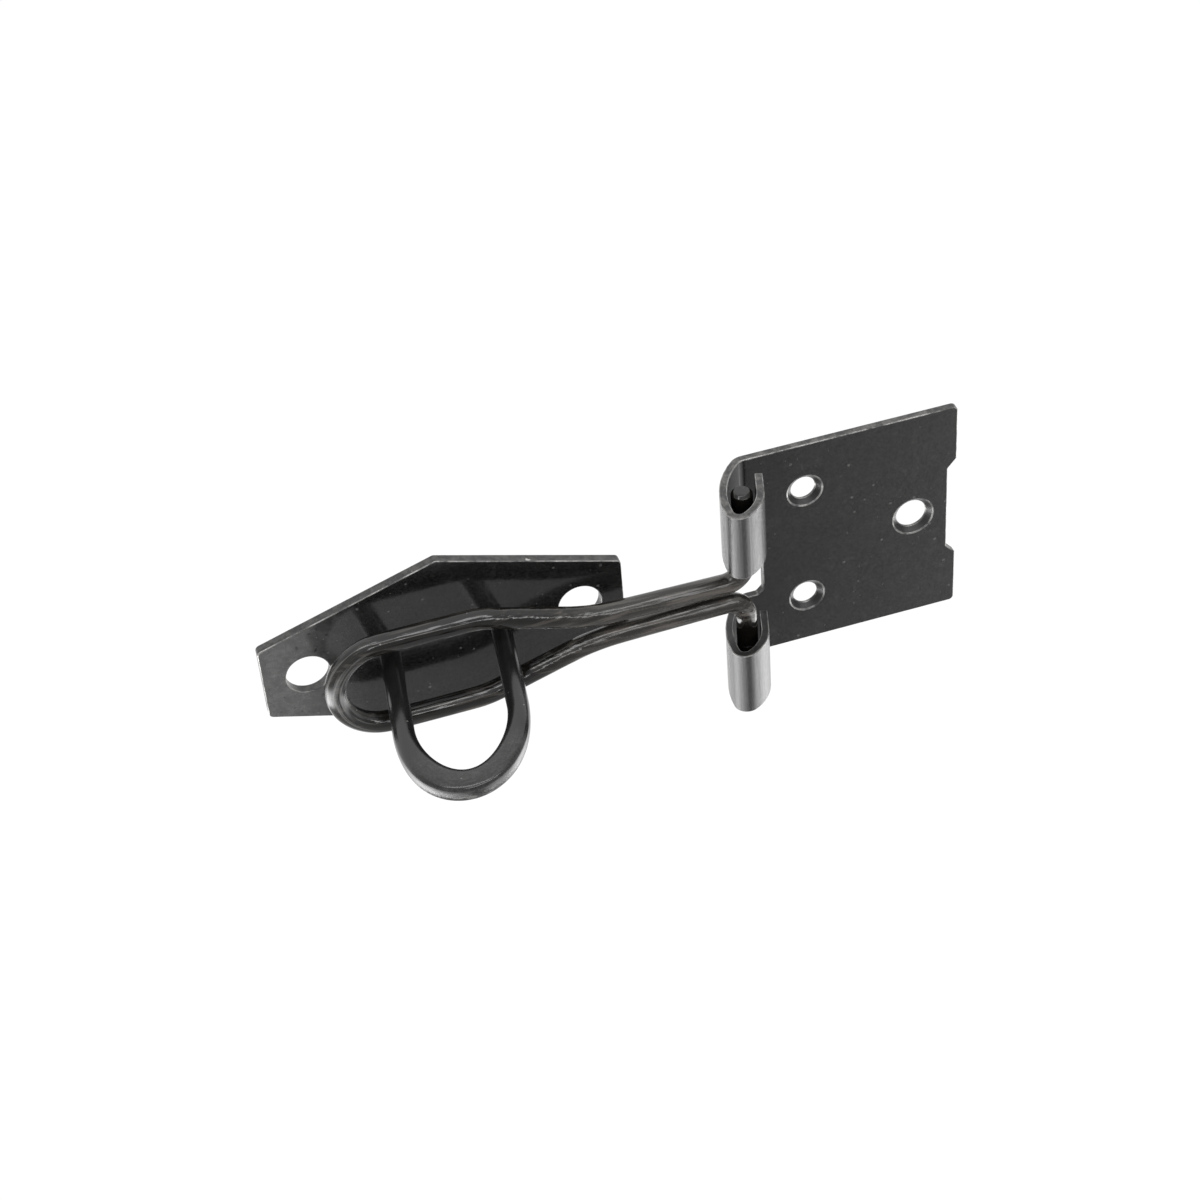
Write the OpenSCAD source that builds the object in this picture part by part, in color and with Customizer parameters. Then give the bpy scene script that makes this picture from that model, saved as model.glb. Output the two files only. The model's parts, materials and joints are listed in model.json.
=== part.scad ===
/* [Sheet and wire] */
// Thickness of the hinge plate's sheet
leaf_t = 1.5; // [1.2:0.1:2.5]
// Thickness of the staple plate's sheet
keep_t = 2; // [1.5:0.1:3]
// Diameter of the hasp's wire
wire_d = 4; // [3:0.1:5]
// Diameter of the staple's bar at its legs
bar_d = 4.1; // [3.5:0.1:5.5]

/* [Hinge plate] */
// Height of the hinge plate, along the hinge axis
leaf_h = 47; // [40:0.5:60]
// Width of the flat leaf, from the slot to the far edge
leaf_w = 39; // [32:0.5:60]
// Radius of the leaf's two far corners
leaf_corner_r = 1; // [0.2:0.1:3]
// Height of the slot between the two knuckles
slot_h = 18.8; // [16:0.2:24]
// Size of the 45 degree corners that are left at the slot's root
slot_corner = 1.1; // [0.5:0.1:2]
// Depth of the notch in the far edge
notch_depth = 1.8; // [0.5:0.1:4]
// Length of the slanted ends of the notch, along the edge
notch_slant = 2; // [0.5:0.1:4]

/* [Leaf screw holes] */
// Bore of the two holes near the knuckles
small_hole_d = 4.7; // [4:0.1:6]
// Diameter of their countersinks at the front face
small_sink_d = 6.9; // [6:0.1:8.5]
// Distance between the two holes
small_hole_pitch = 25.6; // [18:0.2:30]
// Distance of the two holes from the slot's edge
small_hole_inset = 8.7; // [6:0.1:12]
// Bore of the single hole near the far edge
large_hole_d = 5.9; // [5:0.1:7]
// Diameter of its countersink at the front face
large_sink_d = 8.1; // [7.5:0.1:9.5]
// Distance of that hole from the far edge
large_hole_inset = 8.7; // [7:0.1:14]

/* [Knuckles] */
// Flat stretch between the slot's edge and the start of the curl
curl_start = 3; // [1:0.1:4]
// Radius of the first bend, off the door
heel_r = 2.6; // [2:0.1:5]
// Angle of the first bend
heel_angle = 42; // [36:1:48]
// Radius of the long wall behind the wire
back_wall_r = 17; // [14:0.5:22]
// Angle that the long wall turns through
back_wall_angle = 50; // [46:1:54]
// Radius of the tight bend at the front
nose_r = 1.8; // [1.6:0.1:2.6]
// Angle of the tight bend
nose_angle = 113; // [108:1:118]
// Angle that the returning wall turns through
return_angle = 49; // [40:1:54]
// Length of the straight lip at the end of the curl
lip_l = 5; // [2:0.1:6]
// Running gap between the wire and the walls of the eye
eye_gap = 0.55; // [0.35:0.05:0.8]

/* [Wire hasp] */
// Reach of the hasp from the hinge axis to the tip of its loop
hasp_reach = 80; // [72:0.1:110]
// Width of the loop, outside the wire
loop_w = 22.6; // [20:0.2:28]
// Gap between the two wires of the neck
neck_gap = 0.5; // [0.1:0.1:1]
// Length of the neck, from the pins' bends to where the wires part
neck_l = 20.4; // [16:0.2:26]
// Angle at which the two wires of the neck draw apart
neck_angle = 1; // [0.6:0.2:4]
// Inner radius of the bends between the neck and the pins
pin_bend_inner_r = 2.2; // [1:0.1:2.6]
// Angle of the loop's shoulders
shoulder_angle = 17.6; // [16:0.2:30]
// Radius of the bends where the shoulders leave the neck
neck_bend_r = 34; // [15:0.5:40]
// Radius of the bends where the shoulders meet the loop's straight sides
loop_bend_r = 18; // [10:1:24]
// How far the pins stop short of the knuckles' outer ends
pin_recess = 0.4; // [0:0.1:2]
// Chamfer on the cut ends of the pins
pin_chamfer = 0.6; // [0.2:0.1:1]

/* [Staple plate] */
// Length of the staple plate, tip to tip
keep_l = 68.4; // [62:0.2:90]
// Height of the plate at its middle
keep_mid_h = 37.2; // [32:0.2:50]
// Height of the plate's two short ends
keep_end_h = 15.6; // [14.5:0.2:20]
// Radius of the plate's corners
keep_corner_r = 1; // [0.2:0.1:2.5]
// Bore of the two fixing holes
keep_hole_d = 8.2; // [5:0.1:9]
// Distance between the two fixing holes
keep_hole_pitch = 51.6; // [46:0.2:53]
// Gap between the loop's tip and the staple's nearer leg
loop_gap = 7.9; // [5:0.1:10]

/* [Staple] */
// Distance between the middles of the staple's legs
leg_pitch = 21; // [16:0.2:24]
// Height of the staple above the back of its plate
staple_h = 42.5; // [36:0.5:50]
// Lean of the staple away from the hinge plate
staple_lean = 8; // [0:0.5:8]
// Length of the oval bow, along the staple's height
bow_rise = 17; // [12:0.5:20]
// Width of the bar where the bow is pressed, in the staple's plane
bow_w = 5.2; // [4.4:0.1:6.4]
// Thickness of the bar where the bow is pressed
bow_t = 4; // [3:0.1:5]
// Squareness of the pressed section, where 2 is an ellipse
bow_squareness = 3.4; // [2:0.1:5]
// Diameter of the riveted ends, where they pass through the plate
tenon_d = 3.4; // [2.4:0.1:3.5]
// Diameter of the peened heads at the plate's back
peen_d = 5.2; // [4:0.1:7]
// Depth of the countersinks that the peened heads fill
peen_depth = 0.9; // [0.4:0.1:1.3]

/* [Hidden] */
$fn = 96;
// Overshoot of cutting tools beyond a face
past = 0.5;
// Steps along a rounded corner of a plate
corner_steps = 6;
// Largest turn from one point of a bend to the next
bend_step = 6;
// Sides of the wire and of the staple's bar, and rings along the staple's bow
wire_sides = 18;
bar_sides = 20;
bow_rings = 36;
// Share of a knuckle's height over which its pin is a true cylinder
bearing_share = 0.75;
// How far the rest of the wire starts under the round of the pins
pin_cover = 0.02;

japan_black = [0.07, 0.07, 0.075];
wire_black = [0.1, 0.095, 0.09];

// The leaf's back face is centred on the origin
slot_x = -leaf_w / 2;
far_x = leaf_w / 2;
knuckle_h = (leaf_h - slot_h) / 2;

// A middle line is followed as [x, y, heading] over moves of [length, 0] or [radius, turn],
// where a positive turn is to the left
function along(at, move, share) =
    let (
        turn = move[1] * share,
        reach = move[0] * (turn == 0 ? share : sign(turn))
    )
    turn == 0
        ? [at[0] + reach * cos(at[2]), at[1] + reach * sin(at[2]), at[2]]
        : [at[0] + reach * (sin(at[2] + turn) - sin(at[2])),
           at[1] - reach * (cos(at[2] + turn) - cos(at[2])),
           at[2] + turn];
function trace(at, moves, i = 0) =
    i == len(moves) ? [at] :
    let (steps = max(1, ceil(abs(moves[i][1]) / bend_step)))
    concat(
        [for (k = [0:steps - 1]) k == 0 ? at : along(at, moves[i], k / steps)],
        trace(along(at, moves[i], 1), moves, i + 1)
    );
function left_of(at, distance) =
    [at[0] - distance * sin(at[2]), at[1] + distance * cos(at[2])];

// The curl, up to where its wall returns past the wire
curl_foot = [slot_x, -leaf_t / 2, 180];
wall_at = along(along(curl_foot, [curl_start, 0], 1), [heel_r, heel_angle], 1);
nose_at = along(wall_at, [back_wall_r, back_wall_angle], 1);
return_at = along(nose_at, [nose_r, nose_angle], 1);

// The wire lies against the long wall a little past its middle
pin_share = 0.55;
wall_to_pin = leaf_t / 2 + eye_gap + wire_d / 2;
pin = left_of(along(wall_at, [back_wall_r, back_wall_angle], pin_share), wall_to_pin);

// The returning wall passes the wire at the same gap, which sets its radius
return_to_pin = [pin[0] - return_at[0], pin[1] - return_at[1]];
return_normal = left_of([0, 0, return_at[2]], 1);
return_r = (return_to_pin * return_to_pin - pow(wall_to_pin, 2))
    / (2 * (return_to_pin * return_normal - wall_to_pin));

// Wire hasp, along the middle of the wire
pin_end_z = leaf_h / 2 - pin_recess;
bearing_l = (knuckle_h - pin_recess) * bearing_share;
pin_bend_r = pin_bend_inner_r + wire_d / 2;
neck_half = (wire_d + neck_gap) / 2;
loop_r = (loop_w - wire_d) / 2;
pin_l = pin_end_z - neck_half - pin_bend_r;
neck_bend_turn = shoulder_angle - neck_angle;
neck_rise = pin_bend_r * (1 - cos(neck_angle)) + neck_l * sin(neck_angle);
neck_bend_rise = neck_bend_r * (cos(neck_angle) - cos(shoulder_angle));
loop_bend_rise = loop_bend_r * (1 - cos(shoulder_angle));
shoulder_l = (loop_r - neck_half - neck_rise - neck_bend_rise - loop_bend_rise)
    / sin(shoulder_angle);
loop_side_l = hasp_reach - wire_d / 2 - loop_r
    - pin_bend_r * (1 + sin(neck_angle)) - neck_l * cos(neck_angle)
    - neck_bend_r * (sin(shoulder_angle) - sin(neck_angle))
    - shoulder_l * cos(shoulder_angle) - loop_bend_r * sin(shoulder_angle);

// The staple stands inside the tip of the closed loop
loop_tip_x = pin[0] - hasp_reach + wire_d;
staple_x = loop_tip_x + loop_gap + (bar_d + leg_pitch) / 2;
leg_l = staple_h - keep_t - bow_w / 2 - bow_rise;

// Points of an arc that rounds the corner at q, on the way from p to s
function toward(v) = v / norm(v);
function short_way(angle) = angle > 180 ? angle - 360 : angle < -180 ? angle + 360 : angle;
function corner_arc(p, q, s, radius) =
    let (
        back = toward(p - q),
        on = toward(s - q),
        half = acos(back * on) / 2,
        middle = q + toward(back + on) * radius / sin(half),
        first = q + back * radius / tan(half) - middle,
        last = q + on * radius / tan(half) - middle,
        start = atan2(first[1], first[0]),
        sweep = short_way(atan2(last[1], last[0]) - start)
    )
    [for (i = [0:corner_steps])
        middle + radius * [cos(start + sweep * i / corner_steps), sin(start + sweep * i / corner_steps)]];
function rounded(points, radius) =
    let (count = len(points))
    [for (i = [0:count - 1])
        each corner_arc(points[(i + count - 1) % count], points[i], points[(i + 1) % count], radius)];

// A flat outline becomes sheet that stands in front of the door
module plate(thickness) {
    rotate([90, 0, 0])
        linear_extrude(thickness)
            children();
}

// A hole from the back of the leaf, opened out at 45 degrees to sink_d at the front
module screw_hole(x, z, hole_d, sink_d) {
    sink_depth = (sink_d - hole_d) / 2;
    translate([x, 0, z])
        rotate([90, 0, 0]) {
            translate([0, 0, -past])
                cylinder(d = hole_d, h = leaf_t + 2 * past);
            translate([0, 0, leaf_t - sink_depth])
                cylinder(d1 = hole_d, d2 = sink_d + 2 * past, h = sink_depth + past);
        }
}

module leaf_outline() {
    difference() {
        translate([slot_x, -leaf_h / 2])
            square([leaf_w, leaf_h]);
        for (side = [-1, 1])
            translate([far_x - leaf_corner_r, side * (leaf_h / 2 - leaf_corner_r)])
                rotate(side < 0 ? -90 : 0)
                    difference() {
                        square(leaf_corner_r + past);
                        circle(r = leaf_corner_r);
                    }
        notch_outline();
    }
    for (side = [-1, 1])
        polygon([
            [slot_x + past, side * (slot_h / 2 - slot_corner - past)],
            [slot_x + past, side * (slot_h / 2 + past)],
            [slot_x - slot_corner - past, side * (slot_h / 2 + past)]
        ]);
}

// The notch is as high as the slot and flares out to the edge
module notch_outline() {
    root = slot_h / 2;
    mouth = root + notch_slant * (notch_depth + past) / notch_depth;
    polygon([
        [far_x - notch_depth, -root],
        [far_x + past, -mouth],
        [far_x + past, mouth],
        [far_x - notch_depth, root]
    ]);
}

// The sheet curls forward into a loose oval eye and ends in a straight lip
module knuckle(bottom) {
    path = trace([slot_x + past, curl_foot[1], curl_foot[2]], [
        [past + curl_start, 0],
        [heel_r, heel_angle],
        [back_wall_r, back_wall_angle],
        [nose_r, nose_angle],
        [return_r, return_angle],
        [lip_l, 0]
    ]);
    last = len(path) - 1;
    translate([0, 0, bottom])
        linear_extrude(knuckle_h)
            polygon(concat(
                [for (at = path) left_of(at, leaf_t / 2)],
                [for (i = [last:-1:0]) left_of(path[i], -leaf_t / 2)]
            ));
}

module hinge_plate() {
    color(japan_black)
        difference() {
            union() {
                plate(leaf_t)
                    leaf_outline();
                knuckle(slot_h / 2);
                knuckle(-leaf_h / 2);
            }
            for (side = [-1, 1])
                screw_hole(slot_x + small_hole_inset, side * small_hole_pitch / 2,
                    small_hole_d, small_sink_d);
            screw_hole(far_x - large_hole_inset, 0, large_hole_d, large_sink_d);
        }
}

// Skin over a row of rings with the same number of points, closed at both ends
module skin(rings) {
    sides = len(rings[0]);
    last = len(rings) - 1;
    polyhedron(
        points = [for (ring = rings) each ring],
        faces = concat(
            [[for (i = [0:sides - 1]) sides - 1 - i]],
            [[for (i = [0:sides - 1]) last * sides + i]],
            [for (r = [0:last - 1], i = [0:sides - 1])
                let (a = r * sides + i, b = r * sides + (i + 1) % sides)
                each [[a, b, b + sides], [a, b + sides, a + sides]]]
        )
    );
}

// The end of the wire that turns in the eye of a knuckle
module bearing(side) {
    translate([pin[0], pin[1], 0])
        rotate([side < 0 ? 180 : 0, 0, 0])
            translate([0, 0, pin_end_z - bearing_l])
                rotate_extrude()
                    polygon([
                        [0, 0],
                        [wire_d / 2, 0],
                        [wire_d / 2, bearing_l - pin_chamfer],
                        [wire_d / 2 - pin_chamfer, bearing_l],
                        [0, bearing_l]
                    ]);
}

// One length of wire, from one pin round the loop to the other
module wire_hasp() {
    half = [
        [past + pin_l - bearing_l, 0],
        [pin_bend_r, -90 - neck_angle],
        [neck_l, 0],
        [neck_bend_r, -neck_bend_turn],
        [shoulder_l, 0],
        [loop_bend_r, shoulder_angle],
        [loop_side_l, 0]
    ];
    path = trace([pin[0], pin_end_z - bearing_l + past, -90], concat(
        half,
        [[loop_r, 180]],
        [for (i = [len(half) - 1:-1:0]) half[i]]
    ));
    last = len(path) - 1;
    color(wire_black) {
        skin([for (i = [0:last])
            let (r = wire_d / 2 - (i == 0 || i == last ? pin_cover : 0))
            [for (k = [0:wire_sides - 1])
                let (
                    a = 360 * k / wire_sides,
                    side = left_of(path[i], r * cos(a))
                )
                [side[0], pin[1] + r * sin(a), side[1]]]]);
        for (side = [-1, 1])
            bearing(side);
    }
}

// Six-sided plate, and each leg of the staple is riveted through it
module staple_plate() {
    end_x = keep_l / 2;
    end_z = keep_end_h / 2;
    mid_z = keep_mid_h / 2;
    color(japan_black)
        translate([staple_x, 0, 0])
            difference() {
                plate(keep_t)
                    polygon(rounded([
                        [-end_x, -end_z],
                        [0, -mid_z],
                        [end_x, -end_z],
                        [end_x, end_z],
                        [0, mid_z],
                        [-end_x, end_z]
                    ], keep_corner_r));
                for (side = [-1, 1]) {
                    translate([side * keep_hole_pitch / 2, past, 0])
                        rotate([90, 0, 0])
                            cylinder(d = keep_hole_d, h = keep_t + 2 * past);
                    rivet(side, past);
                }
            }
}

// The end of a leg, passed through the plate and peened over at its back
module rivet(side, over) {
    flare = (peen_d - tenon_d) / 2 * over / peen_depth;
    translate([side * leg_pitch / 2, 0, 0])
        rotate([90, 0, 0]) {
            cylinder(d = tenon_d, h = keep_t + past);
            translate([0, 0, -over])
                cylinder(d1 = peen_d + 2 * flare, d2 = tenon_d, h = peen_depth + over);
        }
}

// The bar is round at the legs and is pressed flatter toward the crown of the bow
function ease(t) = t * t * (3 - 2 * t);
function pressed(angle) = ease(sin(angle));
function between(from, to, share) = from + (to - from) * share;
function power(v, exponent) = sign(v) * pow(abs(v), exponent);
function bar_section(press) =
    let (
        half_w = between(bar_d, bow_w, press) / 2,
        half_t = between(bar_d, bow_t, press) / 2,
        exponent = 2 / between(2, bow_squareness, press)
    )
    [for (i = [0:bar_sides - 1])
        let (a = 360 * i / bar_sides)
        [half_w * power(cos(a), exponent), half_t * power(sin(a), exponent)]];
function bow_ring(angle, drop) =
    let (out = toward([-bow_rise * cos(angle), leg_pitch / 2 * sin(angle)]))
    [for (p = bar_section(pressed(angle)))
        let (y = drop - bow_rise * sin(angle) - p[0] * out[1])
        [-leg_pitch / 2 * cos(angle) + p[0] * out[0] + (y + keep_t) * tan(staple_lean), y, p[1]]];

module staple() {
    foot_y = -keep_t;
    spring_y = foot_y - leg_l;
    rings = concat(
        [bow_ring(0, foot_y)],
        [for (i = [0:bow_rings]) bow_ring(180 * i / bow_rings, spring_y)],
        [bow_ring(180, foot_y)]
    );
    color(japan_black)
        translate([staple_x, 0, 0]) {
            skin(rings);
            for (side = [-1, 1])
                rivet(side, 0);
        }
}

hinge_plate();
wire_hasp();
staple_plate();
staple();
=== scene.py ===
import json
import math

import bmesh
import bpy
from mathutils import Matrix, Vector


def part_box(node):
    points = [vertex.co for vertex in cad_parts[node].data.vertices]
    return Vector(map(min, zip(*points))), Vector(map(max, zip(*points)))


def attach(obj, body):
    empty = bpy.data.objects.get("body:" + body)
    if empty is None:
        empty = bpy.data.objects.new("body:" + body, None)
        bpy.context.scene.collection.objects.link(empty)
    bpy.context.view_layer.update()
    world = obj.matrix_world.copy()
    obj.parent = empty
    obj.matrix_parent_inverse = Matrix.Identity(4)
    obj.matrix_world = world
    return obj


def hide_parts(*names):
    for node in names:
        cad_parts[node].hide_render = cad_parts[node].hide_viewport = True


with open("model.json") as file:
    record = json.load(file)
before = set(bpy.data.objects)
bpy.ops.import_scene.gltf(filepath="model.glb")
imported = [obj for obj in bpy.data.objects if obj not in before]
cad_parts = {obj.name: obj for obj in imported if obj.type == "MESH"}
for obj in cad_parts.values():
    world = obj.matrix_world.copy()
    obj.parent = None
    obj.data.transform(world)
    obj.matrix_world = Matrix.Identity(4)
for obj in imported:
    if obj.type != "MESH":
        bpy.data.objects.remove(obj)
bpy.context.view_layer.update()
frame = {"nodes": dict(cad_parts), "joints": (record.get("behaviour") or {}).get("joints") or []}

MM = 0.001

# Camera, from the fit to the photograph
EYE = Vector((-0.1460, -0.3706, 0.3296))
EYE_RIGHT = Vector((0.95095, -0.30227, -0.06573))
EYE_UP = Vector((0.24610, 0.61056, 0.75276))
EYE_BACK = Vector((-0.18741, -0.73202, 0.65500))
LENS = 81.78
SENSOR = 36.0
NEAR_CLIP = 0.01

# The hinge axis, the middle of the staple plate, and the ends of the loop and of the bow
HINGE_AXIS = next(Vector(joint["pos_m"]) for joint in frame["joints"] if joint["name"] == "hasp_swing")
KEEP_MIDDLE_X = sum(corner.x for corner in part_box("staple_plate")) / 2
LOOP_END_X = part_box("wire_hasp")[0].x / MM
BOW_END_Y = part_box("staple")[0].y / MM
STAPLE_LEAN = math.tan(math.radians(8))

# Where the leaf ends, and the range along X that the knuckles' curl takes up
LEAF_NEAR_X = -19.5 * MM
CURL_FROM_X = LEAF_NEAR_X - 14 * MM
CURL_TO_X = LEAF_NEAR_X - 2 * MM

# Corners nearer to each other than this are one
WELD = 0.002 * MM

# Sheet: the arrises' round, the angle that makes an arris, and the angle up to which faces are one
EDGE_ROUND = 0.3 * MM
EDGE_SEGMENTS = 3
ARRIS_ANGLE = math.radians(28)
FLAT_ANGLE = math.radians(0.4)

# The least part of a face's normal that lies along Z for an end, and along Y for the others
END_SQUARE = 0.9
FLAT_SQUARE = 0.95
REFILL_SQUARE = 0.9999
SINK_SQUARE = 0.2

# Wire and bar: which facets are one face, which edges stay crisp, and how often the rest is halved
FACET_ANGLE = math.radians(12)
FACET_SHAPE = math.radians(80)
RIM_ANGLE = math.radians(33)
SMOOTH_LEVELS = 2

# Socket numbers: the object coordinates, and a colour mix's share, its two colours and its result
OBJECT_PLACE = 3
MIX_SHARE, MIX_FIRST, MIX_SECOND, MIX_RESULT = 0, 6, 7, 2

# A speck's solid core, as a share of its reach, and how softly its cell is picked
SPECK_CORE = 0.45
SPECK_STEP = 0.02


class Signal:
    """The output of a node, for use in sums"""

    def __init__(self, finish, socket):
        self.finish = finish
        self.socket = socket

    def __add__(self, other):
        return self.finish.math("ADD", self, other)

    def __sub__(self, other):
        return self.finish.math("SUBTRACT", self, other)

    def __mul__(self, other):
        return self.finish.math("MULTIPLY", self, other)

    def __radd__(self, other):
        return self.finish.math("ADD", other, self)

    def __rsub__(self, other):
        return self.finish.math("SUBTRACT", other, self)

    def __rmul__(self, other):
        return self.finish.math("MULTIPLY", other, self)

    def __neg__(self):
        return self.finish.math("MULTIPLY", self, -1)


class Finish:
    """A node tree that is built up by expressions"""

    def __init__(self, tree):
        self.tree = tree
        tree.nodes.clear()

    def node(self, kind, settings=None, inputs=None, output=0):
        made = self.tree.nodes.new(kind)
        for name, value in (settings or {}).items():
            setattr(made, name, value)
        for name, value in (inputs or {}).items():
            if isinstance(value, Signal):
                self.tree.links.new(value.socket, made.inputs[name])
            else:
                made.inputs[name].default_value = value
        return Signal(self, made.outputs[output]) if made.outputs else None

    def math(self, operation, *values):
        return self.node("ShaderNodeMath", {"operation": operation}, dict(enumerate(values)))

    def between(self, value, low, high):
        """0 at low and 1 at high, with a soft passage; low may be the larger"""
        return self.node(
            "ShaderNodeMapRange",
            {"interpolation_type": "SMOOTHSTEP"},
            {"Value": value, "From Min": low, "From Max": high},
        )

    def colour(self, share, first, second):
        """first where share is 0, and second where it is 1"""
        return self.node(
            "ShaderNodeMix",
            {"data_type": "RGBA"},
            {MIX_SHARE: share, MIX_FIRST: first, MIX_SECOND: second},
            output=MIX_RESULT,
        )

    def place(self):
        """The place on the piece, in millimetres of the shared frame"""
        return self.stretched(self.node("ShaderNodeTexCoord", output=OBJECT_PLACE), (1 / MM,) * 3)

    def stretched(self, place, stretch):
        return self.node("ShaderNodeVectorMath", {"operation": "MULTIPLY"}, {0: place, 1: stretch})

    def axes(self, place):
        parts = self.tree.nodes.new("ShaderNodeSeparateXYZ")
        self.tree.links.new(place.socket, parts.inputs[0])
        return [Signal(self, part) for part in parts.outputs]

    def joined(self, x, y, z):
        return self.node("ShaderNodeCombineXYZ", {}, {"X": x, "Y": y, "Z": z})

    def noise(self, place, scale, detail, rough):
        return self.node(
            "ShaderNodeTexNoise",
            {},
            {"Vector": place, "Scale": scale, "Detail": detail, "Roughness": rough},
        )

    def specks(self, place, cell, reach, share):
        """Small round specks in a share of the cells of the given size"""
        cells = self.tree.nodes.new("ShaderNodeTexVoronoi")
        cells.inputs["Scale"].default_value = 1 / cell
        self.tree.links.new(place.socket, cells.inputs["Vector"])
        near = Signal(self, cells.outputs["Distance"])
        pick = self.axes(Signal(self, cells.outputs["Color"]))[0]
        shape = self.between(near, reach, reach * SPECK_CORE)
        return shape * self.between(pick, 1 - share, 1 + SPECK_STEP - share)

    def bump(self, height, strength, distance):
        return self.node(
            "ShaderNodeBump", {}, {"Height": height, "Strength": strength, "Distance": distance}
        )

    def coat(self, base, rough, metal=0.0, normal=None, mirror=0.5):
        inputs = {
            "Base Color": base,
            "Roughness": rough,
            "Metallic": metal,
            "Specular IOR Level": mirror,
        }
        if normal is not None:
            inputs["Normal"] = normal
        shader = self.node("ShaderNodeBsdfPrincipled", {}, inputs)
        self.node("ShaderNodeOutputMaterial", {}, {"Surface": shader})


def grey(level, warm=0.0):
    return (level * (1 + warm), level, level * (1 - warm), 1)


def new_finish(name):
    material = bpy.data.materials.new(name)
    material.use_nodes = True
    return material, Finish(material.node_tree)


# Black baked enamel on flat sheet: mirror-like, with fine orange peel, fine grain and a little dust
def sheet_enamel(name, grime_and_sheen_from=None, grime_and_sheen_to=None):
    """Where the two places are given, a lighter, rougher coat grows from the first to the second, in
    millimetres along X: dirt, with a painted sheen that stands in for reflected light
    """
    material, f = new_finish(name)
    place = f.place()
    cloud = f.noise(place, scale=0.16, detail=4, rough=0.6)
    fine = f.noise(place, scale=1.6, detail=3, rough=0.6)
    grain = f.between(f.noise(place, scale=2.4, detail=4, rough=0.7), 0.3, 0.7)
    large_dust = f.specks(place, cell=3.1, reach=0.13, share=0.75)
    dust = large_dust + 0.7 * f.specks(place, cell=1.2, reach=0.17, share=0.16)
    haze = f.between(f.noise(place, scale=0.5, detail=4, rough=0.7), 0.5, 0.75)
    base = f.colour(0.3 * cloud + 0.7 * grain, grey(0.0), grey(0.016, warm=0.01))
    base = f.colour(0.22 * dust * fine + 0.02 * haze, base, grey(0.30, warm=0.02))
    rough = 0.09 + 0.05 * cloud + 0.06 * haze + 0.25 * dust
    if grime_and_sheen_from is not None:
        x = f.axes(place)[0]
        grime_and_sheen_patches = f.between(f.noise(place, scale=0.5, detail=5, rough=0.75), 0.3, 0.7)
        spots = f.between(f.noise(place, scale=0.9, detail=2, rough=0.5), 0.66, 0.72)
        # Painted sheen with dirt: toward the given end the coat turns lighter grey and rougher; the grey
        # stands in for reflected light as well as dirt
        grime_and_sheen = f.between(x + 6 * cloud, grime_and_sheen_from, grime_and_sheen_to)
        thick = grime_and_sheen * (0.22 + 0.26 * grime_and_sheen_patches) * (1 - 0.7 * spots)
        base = f.colour(thick, base, grey(0.15, warm=0.01))
        rough = rough + grime_and_sheen * (0.10 + 0.10 * grime_and_sheen_patches)
    ripple = f.noise(place, scale=0.55, detail=2, rough=0.45)
    peel = ripple + 0.14 * f.noise(place, scale=3.4, detail=3, rough=0.6) + 0.25 * dust
    f.coat(base, rough, normal=f.bump(peel, strength=0.2, distance=0.05 * MM))
    return material


# The sheared edges of the sheet: a thinner coat over a rougher face, with a few chips
def cut_edge(name, level=0.055, painted_shade_below=None):
    """Where a height is given, the edges below it are painted black: painted shade on the lower edges,
    which lie in shade
    """
    material, f = new_finish(name)
    place = f.place()
    cloud = f.noise(place, scale=0.7, detail=4, rough=0.65)
    grain = f.noise(f.stretched(place, (1, 0.35, 1)), scale=3.2, detail=3, rough=0.65)
    thin = f.between(cloud + 0.3 * grain, 0.5, 0.85)
    base = f.colour(thin, grey(level * 0.5), grey(level * 1.9, warm=0.03))
    if painted_shade_below is not None:
        # Painted shade: below the given height the edges turn black
        height = f.axes(place)[2]
        passage = 6
        painted_shade = f.between(height, painted_shade_below, painted_shade_below - passage)
        base = f.colour(painted_shade * 0.8, base, grey(0.008))
    chips = f.between(f.noise(place, scale=0.40, detail=2, rough=0.4), 0.74, 0.78)
    base = f.colour(chips * 0.8, base, grey(0.5, warm=0.02))
    rough = 0.26 + 0.16 * grain
    f.coat(base, rough, 0.3, f.bump(grain + cloud, strength=0.3, distance=0.05 * MM))
    return material


# The rounded arrises: a glossy coat, worn thin here and there to a brighter line
def worn_line(name):
    material, f = new_finish(name)
    place = f.place()
    cloud = f.noise(place, scale=0.30, detail=5, rough=0.65)
    grain = f.noise(place, scale=3.5, detail=3, rough=0.6)
    worn = f.between(cloud + 0.25 * grain, 0.45, 0.8)
    base = f.colour(worn, grey(0.03), grey(0.30, warm=0.02))
    rough = 0.18 + 0.15 * grain
    metal = 0.08 + 0.45 * worn
    f.coat(base, rough, metal, f.bump(cloud + grain, strength=0.2, distance=0.04 * MM))
    return material


# The rolled walls of the knuckles: the coat follows fine drawing marks along the hinge axis
def rolled_enamel(name):
    material, f = new_finish(name)
    place = f.place()
    streaks = f.noise(f.stretched(place, (1, 1, 0.06)), scale=1.6, detail=4, rough=0.65)
    hairs = f.noise(f.stretched(place, (1, 1, 0.10)), scale=7.0, detail=3, rough=0.65)
    pores = f.noise(place, scale=5.0, detail=3, rough=0.65)
    cloud = f.noise(place, scale=0.35, detail=3, rough=0.55)
    base = f.colour(cloud, grey(0.006), grey(0.012, warm=0.02))
    rough = 0.11 + 0.06 * cloud + 0.12 * hairs + 0.06 * pores
    height = streaks + 0.45 * hairs + 0.70 * pores
    f.coat(base, rough, normal=f.bump(height, strength=0.4, distance=0.14 * MM))
    return material


# Deep black inside the eyes: painted shade, darker and less glossy than the walls outside
def eye_painted_shade(name):
    material, f = new_finish(name)
    cloud = f.noise(f.place(), scale=0.6, detail=3, rough=0.6)
    base = f.colour(cloud, grey(0.003), grey(0.008, warm=0.03))
    rough = 0.22 + 0.16 * cloud
    f.coat(base, rough, normal=f.bump(cloud, strength=0.25, distance=0.05 * MM), mirror=0.16)
    return material


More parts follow.
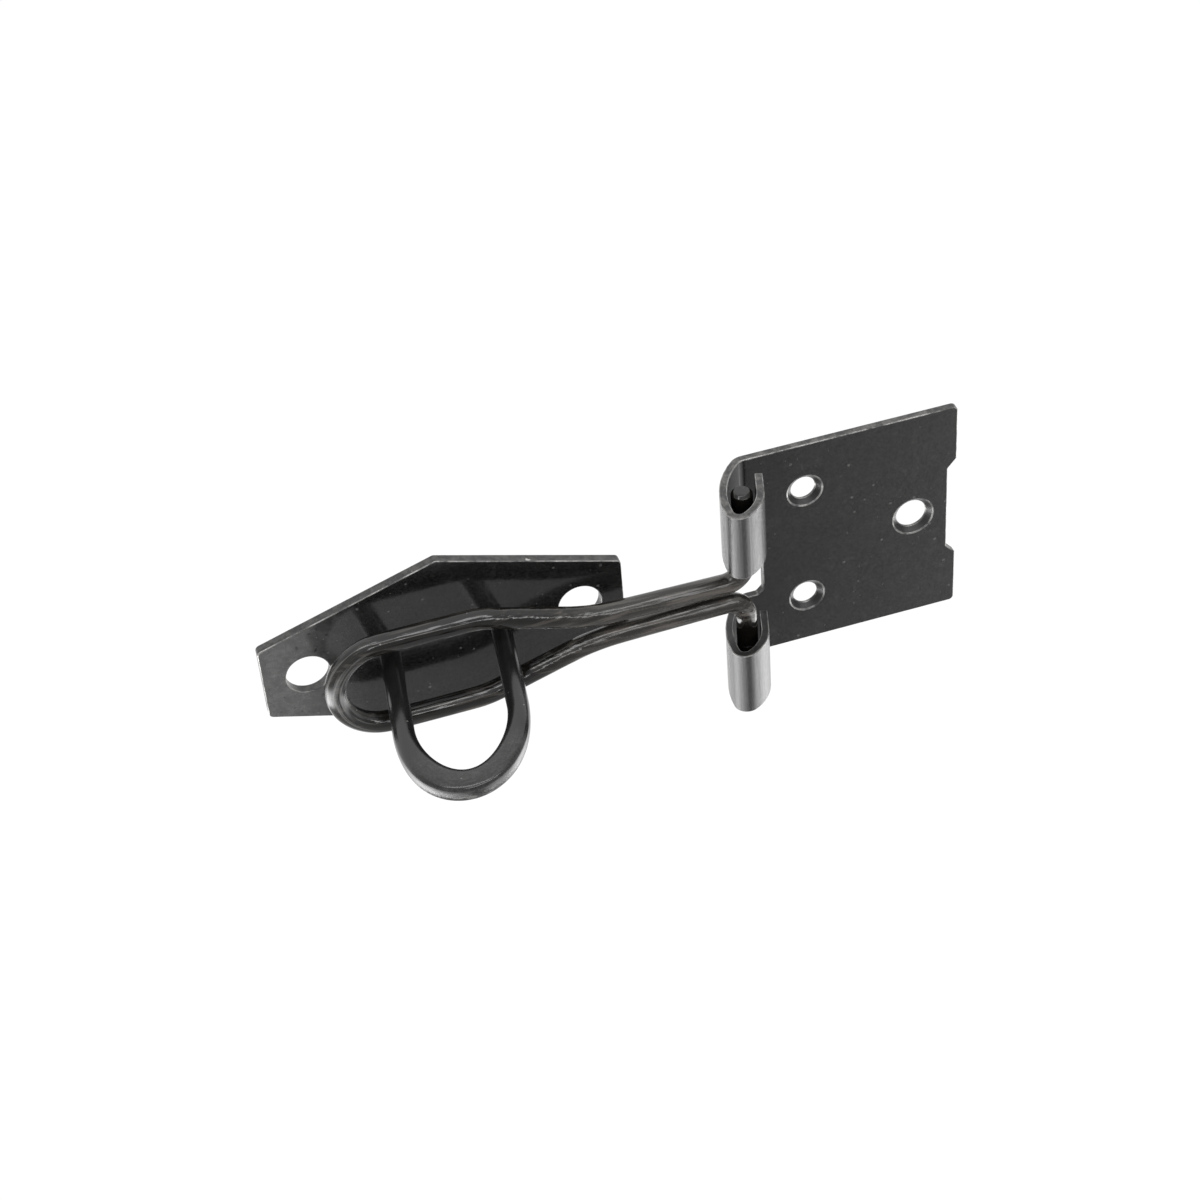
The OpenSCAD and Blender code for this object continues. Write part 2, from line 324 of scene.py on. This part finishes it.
# The countersinks: a thick, duller coat with soft lights
def sink_enamel(name):
    material, f = new_finish(name)
    cloud = f.noise(f.place(), scale=0.8, detail=4, rough=0.65)
    base = f.colour(cloud, grey(0.006), grey(0.022, warm=0.01))
    rough = 0.28 + 0.14 * cloud
    f.coat(base, rough, normal=f.bump(cloud, strength=0.4, distance=0.06 * MM), mirror=0.4)
    return material


# Enamel on drawn wire: glossy with marks along the wire, and duller on the neck and at the loop's end;
# there the lighter streaks round the bend are partly worn coat and partly painted sheen
def wire_enamel(name, bend_x, dull_and_sheen_from, dull_and_sheen_to, neck_from, neck_to, eye_x):
    """The marks turn round the bend past bend_x, and the pins in the eyes near eye_x are plain"""
    material, f = new_finish(name)
    place = f.place()
    x, y, z = f.axes(place)
    past_bend = f.math("MAXIMUM", bend_x - x, 0)
    off_middle = f.math("SQRT", past_bend * past_bend + z * z)
    round_bend = f.joined(off_middle, y, 0.05 * z)
    marks = f.noise(round_bend, scale=1.9, detail=2, rough=0.5)
    along = f.stretched(place, (0.08, 1, 1))
    cloud = f.noise(place, scale=0.22, detail=4, rough=0.6)
    pin_z_from, pin_z_to = 5, 8
    pin_x_from, pin_x_to = eye_x - 4, eye_x - 3
    in_eye = f.between(f.math("ABSOLUTE", z), pin_z_from, pin_z_to) * f.between(x, pin_x_from, pin_x_to)
    drawn = f.noise(along, scale=1.3, detail=2, rough=0.5)
    lines = 0.5 * in_eye + drawn * (1 - in_eye)
    fine = f.noise(place, scale=2.5, detail=3, rough=0.6)
    dust = f.specks(place, cell=1.5, reach=0.14, share=0.10)
    dull_and_sheen = f.between(x + 3 * cloud, dull_and_sheen_from, dull_and_sheen_to)
    rubbed_and_sheen = f.between(marks, 0.52, 0.62) * dull_and_sheen
    neck = f.between(x, neck_from, neck_to) * (1 - in_eye)
    neck_marks = f.between(lines + 0.3 * fine, 0.55, 0.8)
    base = f.colour(cloud, grey(0.003, warm=0.06), grey(0.007, warm=0.12))
    base = f.colour(f.between(lines, 0.55, 0.7) * 0.25, base, grey(0.10, warm=0.14))
    # Painted sheen with wear: at the loop's end the streaks round the bend turn lighter grey, standing in
    # for streaky reflections as well as worn coat
    base = f.colour(0.06 * dull_and_sheen + 0.5 * rubbed_and_sheen, base, grey(0.11, warm=0.02))
    base = f.colour(neck * (0.08 + 0.3 * neck_marks), base, grey(0.12, warm=0.10))
    base = f.colour(dust * 0.4, base, grey(0.30, warm=0.03))
    rough = 0.05 + 0.05 * cloud + 0.05 * lines + 0.25 * dust
    rough = rough + 0.03 * dull_and_sheen + 0.06 * rubbed_and_sheen + 0.08 * neck
    height = 9 * lines * (1 - dull_and_sheen) + 0.12 * fine + 0.3 * cloud + 15 * marks * dull_and_sheen
    f.coat(base, rough, normal=f.bump(height, strength=0.22, distance=0.05 * MM))
    return material


# Enamel on the staple's bar: glossy, and scuffed along the lower outside of the bow
def bar_enamel(name, scuff_from, scuff_to, bow_x, bow_y, lean):
    """The scuffs follow the bow round its middle at bow_x and bow_y, for a staple with that lean"""
    material, f = new_finish(name)
    place = f.place()
    x, y, z = f.axes(place)
    past_bow = f.math("MINIMUM", y - bow_y, 0)
    off_x = x - bow_x - y * lean
    off_middle = f.math("SQRT", off_x * off_x + past_bow * past_bow)
    round_bow = f.joined(off_middle, z, 0.22 * x)
    cloud = f.noise(place, scale=0.25, detail=4, rough=0.6)
    fine = f.noise(place, scale=2.2, detail=4, rough=0.62)
    rubs = f.noise(round_bow, scale=1.5, detail=4, rough=0.65)
    low = f.between(y, scuff_from, scuff_to)
    under_from, under_to = 0.9, -0.9
    under = f.between(z, under_from, under_to)
    scuff = f.between(rubs, 0.48, 0.62) * low * (0.1 + 0.9 * under)
    dust = f.specks(place, cell=1.7, reach=0.14, share=0.12)
    spots = f.between(f.noise(place, scale=1.3, detail=2, rough=0.5), 0.42, 0.36)
    base = f.colour(cloud, grey(0.006), grey(0.012, warm=0.01))
    base = f.colour(low * f.between(fine, 0.3, 0.7) * 0.5, base, grey(0.04, warm=0.01))
    base = f.colour(scuff * 0.6 * (1 - spots), base, grey(0.24, warm=0.01))
    base = f.colour(dust * 0.35, base, grey(0.3, warm=0.02))
    rough = 0.11 + 0.05 * cloud + 0.06 * fine + 0.12 * scuff
    height = 0.8 * fine + (9 * rubs + 5 * fine) * low * under
    f.coat(base, rough, 0.3 * scuff, f.bump(height, strength=0.26, distance=0.05 * MM))
    return material


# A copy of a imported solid, with its doubled corners joined again
def copy_solid(node):
    name = node + "_dressed"
    mesh = frame["nodes"][node].data.copy()
    mesh.name = name
    mesh.materials.clear()
    piece = bpy.data.objects.new(name, mesh)
    bpy.context.scene.collection.objects.link(piece)
    work = bmesh.new()
    work.from_mesh(mesh)
    bmesh.ops.remove_doubles(work, verts=work.verts, dist=WELD)
    return piece, work


def finish_copy(piece, work, node, body):
    work.to_mesh(piece.data)
    work.free()
    for face in piece.data.polygons:
        face.use_smooth = True
    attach(piece, body)
    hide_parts(node)


# The order of the finishes on a sheet part
FACE, EDGE, LINE, ROLL, INSIDE, SINK = range(6)


def sheet_part(node, body, finishes):
    """A plate with its arrises rounded, and each kind of face in its own finish"""
    piece, work = copy_solid(node)
    bmesh.ops.dissolve_limit(work, angle_limit=FLAT_ANGLE, verts=work.verts, edges=work.edges)
    for face in work.faces:
        face.material_index = place_on_sheet(face)
    round_arrises(work)
    for side in (-1, 1):
        refill_flat(work, side)
    for finish in finishes:
        piece.data.materials.append(finish)
    finish_copy(piece, work, node, body)
    keep_flats_flat(piece.data)


def place_on_sheet(face):
    """Which finish a face of a sheet part takes, by where it looks"""
    normal = face.normal
    middle = face.calc_center_median()
    if abs(normal.z) > END_SQUARE:
        return EDGE
    if CURL_FROM_X < middle.x < CURL_TO_X:
        outward = (middle - HINGE_AXIS).to_2d().dot(normal.to_2d())
        return ROLL if outward > 0 else INSIDE
    if abs(normal.y) > FLAT_SQUARE:
        return FACE
    on_leaf = middle.x > LEAF_NEAR_X
    return SINK if on_leaf and abs(normal.y) > SINK_SQUARE else EDGE


def round_arrises(work):
    sharp = [edge for edge in work.edges if edge.calc_face_angle(0) > ARRIS_ANGLE]
    bmesh.ops.bevel(
        work,
        geom=sharp,
        offset=EDGE_ROUND,
        offset_type="OFFSET",
        segments=EDGE_SEGMENTS,
        profile=0.5,
        affect="EDGES",
        clamp_overlap=True,
        material=LINE,
        miter_outer="ARC",
    )
    work.normal_update()


def refill_flat(work, side):
    """The flat face on one side is filled anew between its outline and its holes"""
    flat = [
        face
        for face in work.faces
        if face.material_index == FACE and face.normal.y * side > REFILL_SQUARE
    ]
    rim = [edge for edge in work.edges if sum(face in flat for face in edge.link_faces) == 1]
    bmesh.ops.delete(work, geom=flat, context="FACES_KEEP_BOUNDARY")
    filled = bmesh.ops.triangle_fill(work, use_beauty=True, use_dissolve=False, edges=rim)
    for face in filled["geom"]:
        if isinstance(face, bmesh.types.BMFace):
            face.material_index = FACE
            face.normal_update()
            if face.normal.y * side < 0:
                face.normal_flip()


def keep_flats_flat(mesh):
    """Every corner takes the lean of the main faces beside it, and the arrises turn between them"""
    main = [Vector() for vertex in mesh.vertices]
    rest = [Vector() for vertex in mesh.vertices]
    for face in mesh.polygons:
        sums = rest if face.material_index == LINE else main
        for vertex in face.vertices:
            sums[vertex] += face.normal * face.area
    mesh.normals_split_custom_set_from_vertices(
        [(strong if strong.length > 0 else weak).normalized() for strong, weak in zip(main, rest)]
    )


def round_part(node, body, finish, grow, crease):
    """Wire or bar: subdivision rounds its packed facets, and it grows by what that takes off"""
    piece, work = copy_solid(node)
    bmesh.ops.join_triangles(
        work, faces=work.faces, angle_face_threshold=FACET_ANGLE, angle_shape_threshold=FACET_SHAPE
    )
    work.normal_update()
    creases = work.edges.layers.float.new("crease_edge")
    for edge in work.edges:
        if len(edge.link_faces) == 2 and edge.calc_face_angle(0) > RIM_ANGLE:
            edge[creases] = crease
    steps = {vertex: vertex.normal * grow for vertex in work.verts}
    for vertex, step in steps.items():
        vertex.co += step
    piece.data.materials.append(finish)
    finish_copy(piece, work, node, body)
    smooth = piece.modifiers.new("round section", "SUBSURF")
    smooth.levels = SMOOTH_LEVELS
    smooth.render_levels = SMOOTH_LEVELS


line = worn_line("worn_line")
sheet_part(
    "hinge_plate",
    "hinge",
    [
        sheet_enamel("leaf_enamel"),
        cut_edge("leaf_cut_edge", painted_shade_below=18),
        line,
        rolled_enamel("knuckle_enamel"),
        eye_painted_shade("eye_painted_shade"),
        sink_enamel("sink_enamel"),
    ],
)
# The keeper's left end is painted lighter: dirt with a painted sheen that stands in for reflected light
grime_and_sheen_from = KEEP_MIDDLE_X / MM - 10
sheet_part(
    "staple_plate",
    "keeper",
    [
        sheet_enamel("keep_enamel", grime_and_sheen_from=grime_and_sheen_from, grime_and_sheen_to=grime_and_sheen_from - 18),
        cut_edge("keep_cut_edge", level=0.03),
        line,
    ],
)
round_part(
    "wire_hasp",
    "hasp",
    wire_enamel(
        "wire_enamel",
        bend_x=LOOP_END_X + 11.3,
        dull_and_sheen_from=LOOP_END_X + 13,
        dull_and_sheen_to=LOOP_END_X + 5,
        neck_from=LOOP_END_X + 38,
        neck_to=LOOP_END_X + 58,
        eye_x=HINGE_AXIS.x / MM,
    ),
    grow=0.04 * MM,
    crease=0.55,
)
round_part(
    "staple",
    "keeper",
    bar_enamel(
        "bar_enamel",
        scuff_from=BOW_END_Y + 13,
        scuff_to=BOW_END_Y + 7,
        bow_x=KEEP_MIDDLE_X / MM,
        bow_y=BOW_END_Y + 12.5,
        lean=STAPLE_LEAN,
    ),
    grow=0.02 * MM,
    crease=0.8,
)

# Floor and lights
FLOOR_Z = -0.34
FLOOR_HALF = 6.0
FLOOR_LEVEL = 0.92
FLOOR_WHITE = 0.75
UP = Vector((0, 0, 1))
ALMOST_UP = 0.01
AIM = Vector((-0.0514, -0.0011, -0.001))

# Soft panels round the lower front, each with its azimuth, half its width and its radiance
PANELS = [(-84, 70, 9.5), (-26, 40, 3.2), (52, 34, 3.6), (96, 40, 5.2)]

# The elevations at which the panels start, are full, are still full and end
PANEL_BAND = (-53, -44, -36, -18)

# The light all round, what comes on top of it from above and behind, and what the front lacks
ROOM_LEVEL = 0.55
FAR_LEVEL = 0.75
FRONT_LOSS = 0.1

# Where each of those starts and is full, as the part of the direction that points there
ABOVE = (0.45, 0.95)
BEHIND = (0.0, 0.7)
FRONT = (0.75, 0.97)


def floor_finish():
    """Pale, and for the camera largely plain white"""
    material, f = new_finish("pale_floor")
    surface = f.node("ShaderNodeBsdfDiffuse", {}, {"Color": grey(FLOOR_LEVEL)})
    white = f.node("ShaderNodeEmission", {}, {"Color": grey(1.0), "Strength": 1.0})
    camera_ray = f.node("ShaderNodeLightPath")
    mixed = f.node("ShaderNodeMixShader", {}, {0: camera_ray * FLOOR_WHITE, 1: surface, 2: white})
    f.node("ShaderNodeOutputMaterial", {}, {"Surface": mixed})
    return material


def framed(centre, right, up, back):
    """The placing at centre with those three axes"""
    turned = Matrix((right, up, back)).transposed().to_4x4()
    turned.translation = centre
    return turned


def aimed(centre, facing):
    """The placing at centre whose Z axis points along facing, and whose X axis lies level"""
    back = facing.normalized()
    level = UP.cross(back)
    if level.length < ALMOST_UP:
        level = Vector((1, 0, 0))
    level.normalize()
    return framed(centre, level, back.cross(level), back)


def lay_floor():
    mesh = bpy.data.meshes.new("pale_floor")
    low, high = -FLOOR_HALF, FLOOR_HALF
    mesh.from_pydata([(low, low, 0), (high, low, 0), (high, high, 0), (low, high, 0)], [], [(0, 1, 2, 3)])
    mesh.materials.append(floor_finish())
    floor = bpy.data.objects.new("pale_floor", mesh)
    floor.matrix_world = aimed(Vector((0, 0, FLOOR_Z)), UP)
    floor.visible_glossy = False
    floor.visible_shadow = False
    bpy.context.scene.collection.objects.link(floor)


def direction(azimuth, elevation):
    """Azimuth runs from straight ahead of the plates toward +X"""
    a, e = math.radians(azimuth), math.radians(elevation)
    return Vector((math.sin(a) * math.cos(e), -math.cos(a) * math.cos(e), math.sin(e)))


def soft_box(name, azimuth, elevation, distance, width, height, radiance):
    """A panel that faces the object and shows that radiance"""
    towards = direction(azimuth, elevation)
    lamp = bpy.data.lights.new(name, "AREA")
    lamp.shape = "RECTANGLE"
    lamp.size = width
    lamp.size_y = height
    lamp.energy = radiance * math.pi * width * height
    box = bpy.data.objects.new(name, lamp)
    box.matrix_world = aimed(AIM + towards * distance, towards)
    box.visible_camera = False
    bpy.context.scene.collection.objects.link(box)


def studio_level(w):
    """The light from each direction, apart from the lamps"""
    gaze = w.axes(w.node("ShaderNodeTexCoord"))
    azimuth = w.math("DEGREES", w.math("ARCTAN2", gaze[0], -gaze[1]))
    elevation = w.math("DEGREES", w.math("ARCSINE", gaze[2]))
    far = w.math("MAXIMUM", w.between(gaze[2], *ABOVE), w.between(gaze[1], *BEHIND))
    level = ROOM_LEVEL + FAR_LEVEL * far - FRONT_LOSS * w.between(-gaze[1], *FRONT)
    below, low, high, above = PANEL_BAND
    band = w.between(elevation, below, low) * w.between(elevation, above, high)
    for centre, half_width, radiance in PANELS:
        away = w.math("ABSOLUTE", azimuth - centre)
        level = level + radiance * band * w.between(away, half_width, 0)
    return level


def set_world():
    """The studio lights the pieces, and the camera itself sees plain white"""
    world = bpy.data.worlds.new("studio")
    bpy.context.scene.world = world
    world.use_nodes = True
    w = Finish(world.node_tree)
    camera_ray = w.node("ShaderNodeLightPath")
    studio = w.node("ShaderNodeBackground", {}, {"Color": grey(1.0), "Strength": studio_level(w)})
    blank = w.node("ShaderNodeBackground", {}, {"Color": grey(1.0), "Strength": 1.0})
    seen = w.node("ShaderNodeMixShader", {}, {0: camera_ray, 1: studio, 2: blank})
    w.node("ShaderNodeOutputWorld", {}, {"Surface": seen})


def set_camera():
    lens = bpy.data.cameras.new("photo_view")
    lens.lens = LENS
    lens.sensor_width = SENSOR
    lens.clip_start = NEAR_CLIP
    camera = bpy.data.objects.new("photo_view", lens)
    camera.matrix_world = framed(EYE, EYE_RIGHT, EYE_UP, EYE_BACK)
    bpy.context.scene.collection.objects.link(camera)
    bpy.context.scene.camera = camera


lay_floor()
soft_box("key_strip", azimuth=-8, elevation=64, distance=0.8, width=1.1, height=0.15, radiance=5.0)
soft_box("front_strip", azimuth=22, elevation=30, distance=0.8, width=1.0, height=0.10, radiance=6.0)
set_world()
set_camera()
bpy.context.scene.view_settings.view_transform = "Standard"
